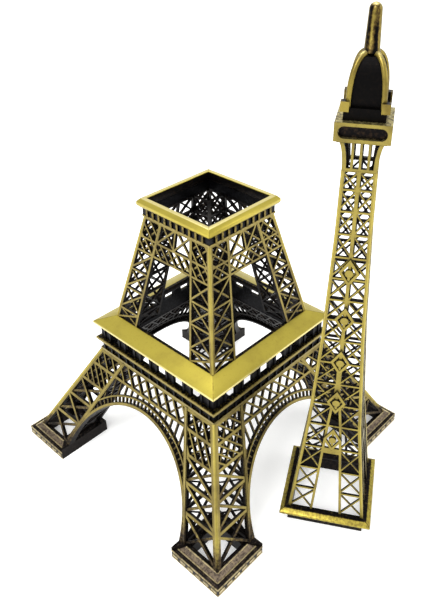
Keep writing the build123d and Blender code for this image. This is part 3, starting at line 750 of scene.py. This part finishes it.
@dataclass(frozen=True)
class Castings:
    """The CAD castings that keep their shape and only take a finish."""

    dresser: Dresser
    regions: Tuple[Tuple[str, Region], ...] = (
        ("plinth_", Region.PLINTH),
        ("leg_", Region.LOWER_LATTICE),
        ("arch_", Region.ARCH),
        ("gallery_", Region.GALLERY),
        ("deck_", Region.DECK),
        ("stage_", Region.UPPER_LATTICE),
        ("cornice_", Region.CORNICE),
        ("socket_ring_", Region.RING),
        ("plug", Region.PLUG),
        ("collar_", Region.COLLAR),
        ("column_", Region.COLUMN),
        ("ornament_", Region.ORNAMENT),
        ("flare", Region.FLARE),
        ("platform", Region.PLATFORM),
        ("dome_base", Region.DOME_BASE),
        ("dome_core", Region.DOME_CORE),
        ("dome_rib_", Region.DOME_RIB),
        ("spire", Region.SPIRE),
    )

    def dress(self, nodes: Dict[str, bpy.types.Object]) -> None:
        """Gives every casting the material of its region.

        Args:
            nodes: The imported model's nodes by name.
        """
        for name, piece in nodes.items():
            region = next(region for start, region in self.regions if name.startswith(start))
            piece.data.materials.clear()
            piece.data.materials.append(self.dresser.material(region))
        log.info("dressed %d castings", len(nodes))


def rod(shape: bmesh.types.BMesh, points: Sequence[Vector], radius: float, sides: int = 10) -> None:
    """Extrudes a round bar along a line of points.

    Args:
        shape: The mesh that the bar is added to.
        points: The bar's middle line, in mm.
        radius: The bar's radius, in mm.
        sides: Flats round the bar.
    """
    section = bmesh.ops.create_circle(shape, cap_ends=True, segments=sides, radius=radius)["verts"]
    face = section[0].link_faces[0]
    heading = (points[1] - points[0]).to_track_quat("Z", "Y").to_matrix().to_4x4()
    bmesh.ops.transform(shape, matrix=Matrix.Translation(points[0]) @ heading, verts=section)
    for index in range(1, len(points)):
        ahead = points[min(index + 1, len(points) - 1)]
        turned = (ahead - points[index - 1]).to_track_quat("Z", "Y").to_matrix().to_4x4()
        grown = bmesh.ops.extrude_face_region(shape, geom=[face])["geom"]
        face = next(item for item in grown if isinstance(item, bmesh.types.BMFace))
        back = Matrix.Translation(-points[index - 1])
        move = Matrix.Translation(points[index]) @ turned @ heading.inverted() @ back
        bmesh.ops.transform(shape, matrix=move, verts=list(face.verts))
        heading = turned


def finish_piece(
    shape: bmesh.types.BMesh,
    name: str,
    stand: Stand,
    region: Region,
    dresser: Dresser,
    stands_for: Sequence[str] = (),
    smooth_angle: float = 35.0,
) -> bpy.types.Object:
    """Turns a mesh modelled in mm about a body's own origin into a dressed piece of that body.

    Args:
        shape: The mesh, which is freed.
        name: The piece's name.
        stand: Where the body's own frame stands.
        region: The part of the model, for its finish.
        dresser: Makes the finish.
        stands_for: CAD castings that the piece is shown in place of.
        smooth_angle: Edges sharper than this stay crisp, in degrees.

    Returns:
        The new object.
    """
    place_x, place_y, turn = stand.value
    shift = Matrix.Translation((place_x, place_y, 0.0))
    place = Matrix.Scale(MM, 4) @ shift @ Matrix.Rotation(math.radians(turn), 4, "Z")
    bmesh.ops.remove_doubles(shape, verts=shape.verts, dist=MERGE_MM)
    bmesh.ops.recalc_face_normals(shape, faces=shape.faces)
    bmesh.ops.transform(shape, matrix=place, verts=shape.verts)
    for face in shape.faces:
        face.smooth = True
    mesh = bpy.data.meshes.new(name)
    shape.to_mesh(mesh)
    shape.free()
    mesh.set_sharp_from_angle(angle=math.radians(smooth_angle))
    piece = bpy.data.objects.new(name, mesh)
    bpy.context.collection.objects.link(piece)
    mesh.materials.append(dresser.material(region))
    if stands_for:
        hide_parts(*stands_for)
    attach(piece, "base_section" if stand is Stand.LOWER else "upper_section")
    log.info("%s: %d faces", name, len(mesh.polygons))
    return piece


@dataclass(frozen=True)
class SquareFrame:
    """A mitred square frame with softened edges, from the section of one side."""

    name: str
    stand: Stand
    region: Region
    section: Section
    stands_for: Tuple[str, ...]
    softening: float
    crease_angle: float = 12.0

    def build(self, dresser: Dresser) -> bpy.types.Object:
        """Turns the section round the middle in four steps and rounds its edges.

        Args:
            dresser: Makes the finish.

        Returns:
            The frame.
        """
        shape = bmesh.new()
        corners = [shape.verts.new((half, half, height)) for half, height in self.section]
        edges = [shape.edges.new((corners[i - 1], corners[i])) for i in range(len(corners))]
        bmesh.ops.spin(
            shape, geom=corners + edges, cent=(0, 0, 0), axis=(0, 0, 1), angle=2 * math.pi,
            steps=4, use_merge=True,
        )
        bmesh.ops.remove_doubles(shape, verts=shape.verts, dist=MERGE_MM)
        bmesh.ops.recalc_face_normals(shape, faces=shape.faces)
        sharp = [edge for edge in shape.edges if edge.calc_face_angle(0.0) > math.radians(self.crease_angle)]
        bmesh.ops.bevel(
            shape, geom=sharp, offset=self.softening, offset_type="OFFSET", affect="EDGES", segments=2,
            profile=0.5, material=-1, clamp_overlap=True,
        )
        return finish_piece(shape, self.name, self.stand, self.region, dresser, self.stands_for)


@dataclass(frozen=True)
class Frames:
    """The deck, the socket ring and the collar, whose edges the casting rounds.

    A section lists half widths and heights in mm, round one side of the frame.
    """

    deck: Section = (
        (52.3, 97.9), (55.9, 97.9), (55.9, 99.3), (44.3, 103.4), (42.0, 103.4), (42.0, 99.5), (49.1, 97.9),
    )
    ring: Section = (
        (26.0, 182.9), (29.4, 182.9), (30.8, 184.5), (30.8, 186.6), (28.9, 188.7), (26.6, 188.9),
        (26.0, 188.5),
    )
    collar: Section = ((21.7, 9.0), (28.2, 9.0), (28.2, 10.5), (25.8, 12.0), (24.9, 12.2), (21.7, 12.2))
    deck_softening: float = 0.3
    ring_softening: float = 0.5
    collar_softening: float = 0.25

    def build(self, dresser: Dresser) -> None:
        """Makes the three frames.

        Args:
            dresser: Makes the finish.
        """
        squares = (
            SquareFrame(
                "sloping_deck", Stand.LOWER, Region.DECK, self.deck,
                tuple("deck_" + side for side in SIDES), self.deck_softening,
            ),
            SquareFrame(
                "socket_ring", Stand.LOWER, Region.RING, self.ring,
                tuple("socket_ring_" + side for side in SIDES), self.ring_softening,
            ),
            SquareFrame(
                "stepped_collar", Stand.UPPER, Region.COLLAR, self.collar,
                tuple("collar_" + side for side in SIDES), self.collar_softening,
            ),
        )
        for square in squares:
            square.build(dresser)


@dataclass(frozen=True)
class CornerBeads:
    """Round beads that the casting has down its outer corners."""

    low_radius: float = 1.15
    low_inset: float = 0.8
    high_radius: float = 0.95
    high_inset: float = 0.65
    column_radius: float = 0.62
    column_inset: float = 0.42

    def bead(
        self,
        name: str,
        stand: Stand,
        region: Region,
        planes: Sequence[Plane],
        radius: float,
        inset: float,
        dresser: Dresser,
    ) -> bpy.types.Object:
        """Runs a bead down each of the four corners of a tapering stage.

        Args:
            name: The piece's name.
            stand: Where the body's own frame stands.
            region: The part of the model, for its finish.
            planes: The stretches of the stage's outer face, from the bottom up.
            radius: The bead's radius, in mm.
            inset: How far the bead's middle lies in from the faces, in mm.
            dresser: Makes the finish.

        Returns:
            The beads, as one piece.
        """
        levels = [(planes[0].foot_half, planes[0].foot_z)]
        levels += [(plane.head_half, plane.head_z) for plane in planes]
        shape = bmesh.new()
        for across, along in QUARTERS:
            line = [
                Vector((across * (half - inset), along * (half - inset), height)) for half, height in levels
            ]
            rod(shape, line, radius)
        return finish_piece(shape, name, stand, region, dresser)

    def build(self, dresser: Dresser) -> None:
        """Makes the beads of both stages of legs and of the column.

        Args:
            dresser: Makes the finish.
        """
        self.bead("leg_beads", Stand.LOWER, Region.BEAD, LOWER_LEG, self.low_radius, self.low_inset, dresser)
        self.bead(
            "stage_leg_beads", Stand.LOWER, Region.BEAD, UPPER_LEG,
            self.high_radius, self.high_inset, dresser,
        )
        self.bead(
            "column_beads", Stand.UPPER, Region.COLUMN_BEAD, COLUMN,
            self.column_radius, self.column_inset, dresser,
        )


@dataclass(frozen=True)
class PlinthTrim:
    """Two thin rims and a row of raised dashes round each plinth."""

    base_half: float = 95.0
    plinth_side: float = 38.8
    rims: Tuple[Tuple[float, float], ...] = ((0.5, 0.1), (5.6, 0.1), (6.4, 2.9), (8.5, 6.4))
    rim_radius: float = 0.45
    rim_sides: int = 8
    dashes: int = 6
    dash_length: float = 4.3
    dash_height: float = 1.9
    dash_depth: float = 0.7
    dash_middle: float = 2.85
    dash_lift: float = 0.05
    dash_softening: float = 0.18

    def build(self, dresser: Dresser) -> bpy.types.Object:
        """Makes the trim of all four plinths.

        Args:
            dresser: Makes the finish.

        Returns:
            The trim, as one piece.
        """
        shape = bmesh.new()
        half = self.plinth_side / 2
        middle = self.base_half - half
        step = self.plinth_side / self.dashes
        for across, along in QUARTERS:
            centre = Vector((across * middle, along * middle, 0.0))
            for level, inset in self.rims:
                reach = half - inset
                start = centre + Vector((-reach * across, reach * along, level))
                bend = centre + Vector((reach * across, reach * along, level))
                end = centre + Vector((reach * across, -reach * along, level))
                rod(shape, [start, bend], self.rim_radius, self.rim_sides)
                rod(shape, [bend, end], self.rim_radius, self.rim_sides)
            face = half + self.dash_lift
            for index in range(self.dashes):
                run = -half + (index + 0.5) * step
                self.dash(shape, centre + Vector((run, along * face, self.dash_middle)), False)
                self.dash(shape, centre + Vector((across * face, run, self.dash_middle)), True)
        return finish_piece(shape, "plinth_trim", Stand.LOWER, Region.PLINTH_TRIM, dresser)

    def dash(self, shape: bmesh.types.BMesh, place: Vector, turned: bool) -> None:
        """Adds one raised dash with softened edges.

        Args:
            shape: The mesh that the dash is added to.
            place: The dash's middle, in mm.
            turned: True where the dash runs front to back.
        """
        size = (self.dash_depth, self.dash_length) if turned else (self.dash_length, self.dash_depth)
        matrix = Matrix.Translation(place) @ Matrix.Diagonal((size[0], size[1], self.dash_height, 1.0))
        made = bmesh.ops.create_cube(shape, size=1.0, matrix=matrix)["verts"]
        edges = list({edge for vertex in made for edge in vertex.link_edges})
        bmesh.ops.bevel(
            shape, geom=edges, offset=self.dash_softening, offset_type="OFFSET", affect="EDGES", segments=1,
            profile=0.5, material=-1, clamp_overlap=True,
        )


@dataclass(frozen=True)
class Head:
    """The curved ribs and the spire at the top of the upper section."""

    dome_z: float = 267.7
    dome_height: float = 23.0
    dome_half: float = 9.2
    neck_half: float = 3.4
    dome_power: float = 2.6
    rib_radius: float = 1.45
    rib_inset: float = 1.35
    rib_steps: int = 22
    rib_sides: int = 12
    rib_last_share: float = 0.998
    rib_reach: float = 0.985
    spire_foot_radius: float = 3.9
    spire_tip_radius: float = 2.9
    spire_height: float = 18.0
    lip_height: float = 0.5
    lip_inset: float = 0.35
    lip_top: float = 1.0
    tip_steps: int = 8
    spin_steps: int = 32
    spire_smooth_angle: float = 50.0

    def dome_profile(self, share: float) -> float:
        """Half width of the dome.

        Args:
            share: How far up the dome, from 0 at its foot to 1 at its neck.

        Returns:
            The half width, in mm.
        """
        bulge = math.sqrt(max(0.0, 1.0 - share ** self.dome_power))
        return self.neck_half + (self.dome_half - self.neck_half) * bulge

    def ribs(self, dresser: Dresser) -> bpy.types.Object:
        """Bends a round rib up each corner of the dome.

        Args:
            dresser: Makes the finish.

        Returns:
            The ribs, as one piece.
        """
        shape = bmesh.new()
        shares = [math.sin(math.pi / 2 * step / self.rib_steps) for step in range(self.rib_steps)]
        shares.append(self.rib_last_share)
        for across, along in QUARTERS:
            points = []
            for share in shares:
                half = self.dome_profile(share) - self.rib_inset
                height = self.dome_z + self.dome_height * share * self.rib_reach
                points.append(Vector((across * half, along * half, height)))
            rod(shape, points, self.rib_radius, self.rib_sides)
        stands_for = tuple("dome_rib_%d" % n for n in range(1, 5))
        return finish_piece(shape, "dome_ribs", Stand.UPPER, Region.DOME_RIB, dresser, stands_for)

    def spire(self, dresser: Dresser) -> bpy.types.Object:
        """Turns the blunt spire, with a low lip at its foot.

        Args:
            dresser: Makes the finish.

        Returns:
            The spire.
        """
        shape = bmesh.new()
        foot = self.dome_z + self.dome_height
        head = foot + self.spire_height
        wide = self.spire_foot_radius
        tip = self.spire_tip_radius
        outline = [(0.0, foot), (wide, foot), (wide, foot + self.lip_height)]
        outline += [(wide - self.lip_inset, foot + self.lip_top), (tip, head)]
        for step in range(1, self.tip_steps + 1):
            angle = math.pi / 2 * step / self.tip_steps
            outline.append((tip * math.cos(angle), head + tip * math.sin(angle)))
        dots = [shape.verts.new((radius, 0.0, height)) for radius, height in outline]
        lines = [shape.edges.new(pair) for pair in zip(dots, dots[1:])]
        bmesh.ops.spin(
            shape, geom=dots + lines, cent=(0, 0, 0), axis=(0, 0, 1), angle=2 * math.pi,
            steps=self.spin_steps, use_merge=True,
        )
        return finish_piece(
            shape, "blunt_spire", Stand.UPPER, Region.SPIRE, dresser, ("spire",), self.spire_smooth_angle
        )

    def build(self, dresser: Dresser) -> None:
        """Makes the ribs and the spire.

        Args:
            dresser: Makes the finish.
        """
        self.ribs(dresser)
        self.spire(dresser)


@dataclass(frozen=True)
class Studio:
    """A pale floor, soft studio light and the camera."""

    camera_place: Tuple[float, float, float] = (-0.2555, -0.2601, 0.3685)
    view_direction: Tuple[float, float] = (0.7390, 0.6737)
    pitch_down: float = 31.34
    lens_mm: float = 40.62
    shift: Tuple[float, float] = (-0.0503, -0.0725)
    floor_half: float = 6.0
    aim: Tuple[float, float, float] = (0.0, -0.03, 0.12)
    lamps: Tuple[Tuple[str, Tuple[float, float, float], float, float], ...] = (
        ("key", (-1.1, -0.2, 1.1), 0.7, 16.0),
        ("fill", (0.6, -1.2, 0.7), 0.8, 6.0),
        ("top", (0.1, 0.2, 1.6), 0.9, 10.0),
    )

    def floor(self) -> None:
        """Lays the floor."""
        mesh = bpy.data.meshes.new("floor")
        plane = bmesh.new()
        bmesh.ops.create_grid(plane, x_segments=1, y_segments=1, size=self.floor_half)
        plane.to_mesh(mesh)
        plane.free()
        floor = bpy.data.objects.new("floor", mesh)
        bpy.context.collection.objects.link(floor)
        # Matt white paper that glows a little, so that it stays even and white in the model's shadow.
        material = bpy.data.materials.new("white_paper_sweep")
        material.use_nodes = True
        tree = material.node_tree
        tree.nodes.clear()
        shader = add_node(
            tree, "ShaderNodeBsdfPrincipled",
            inputs={
                "Base Color": linear("#F7F7F5"), "Roughness": 0.9, "Specular IOR Level": 0.1,
                "Emission Color": linear("#FFFFFF"), "Emission Strength": 0.3,
            },
        )
        add_node(tree, "ShaderNodeOutputMaterial", inputs={"Surface": shader.outputs[0]})
        mesh.materials.append(material)

    def lamp(self, name: str, place: Vector, size: float, power: float) -> None:
        """Hangs a square soft light that points at the model.

        Args:
            name: The lamp's name.
            place: Where it hangs, in metres.
            size: The side of the square, in metres.
            power: Its power, in watts.
        """
        data = bpy.data.lights.new(name, "AREA")
        data.shape = "SQUARE"
        data.size = size
        data.energy = power
        lamp = bpy.data.objects.new(name, data)
        lamp.location = place
        aim = Vector(self.aim) - place
        lamp.rotation_euler = aim.to_track_quat("-Z", "Y").to_euler()
        bpy.context.collection.objects.link(lamp)

    def light(self) -> None:
        """Sets the white surroundings and the lamps."""
        world = bpy.data.worlds.new("white_room")
        world.use_nodes = True
        tree = world.node_tree
        tree.nodes.clear()
        glow = add_node(tree, "ShaderNodeBackground", inputs={"Color": linear("#FFFFFF"), "Strength": 1.0})
        add_node(tree, "ShaderNodeOutputWorld", inputs={"Surface": glow.outputs[0]})
        bpy.context.scene.world = world
        bpy.context.scene.view_settings.view_transform = "Standard"
        for name, place, size, power in self.lamps:
            self.lamp(name, Vector(place), size, power)

    def camera(self) -> None:
        """Places the camera."""
        data = bpy.data.cameras.new("camera")
        data.sensor_width = 36.0
        data.lens = self.lens_mm
        data.shift_x, data.shift_y = self.shift
        data.clip_start = 0.01
        data.clip_end = 50.0
        camera = bpy.data.objects.new("camera", data)
        level = math.cos(math.radians(self.pitch_down))
        drop = -math.sin(math.radians(self.pitch_down))
        aim = Vector((self.view_direction[0] * level, self.view_direction[1] * level, drop))
        camera.location = self.camera_place
        camera.rotation_euler = aim.to_track_quat("-Z", "Y").to_euler()
        bpy.context.collection.objects.link(camera)
        bpy.context.scene.camera = camera

    def build(self) -> None:
        """Sets up the whole studio."""
        self.floor()
        self.light()
        self.camera()


def main() -> None:
    """Builds the studio and dresses the model."""
    logging.basicConfig(level=logging.INFO)
    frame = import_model()
    Studio().build()
    dresser = Dresser()
    Castings(dresser).dress(frame["nodes"])
    Frames().build(dresser)
    CornerBeads().build(dresser)
    PlinthTrim().build(dresser)
    Head().build(dresser)


if __name__ == "__main__":
    main()
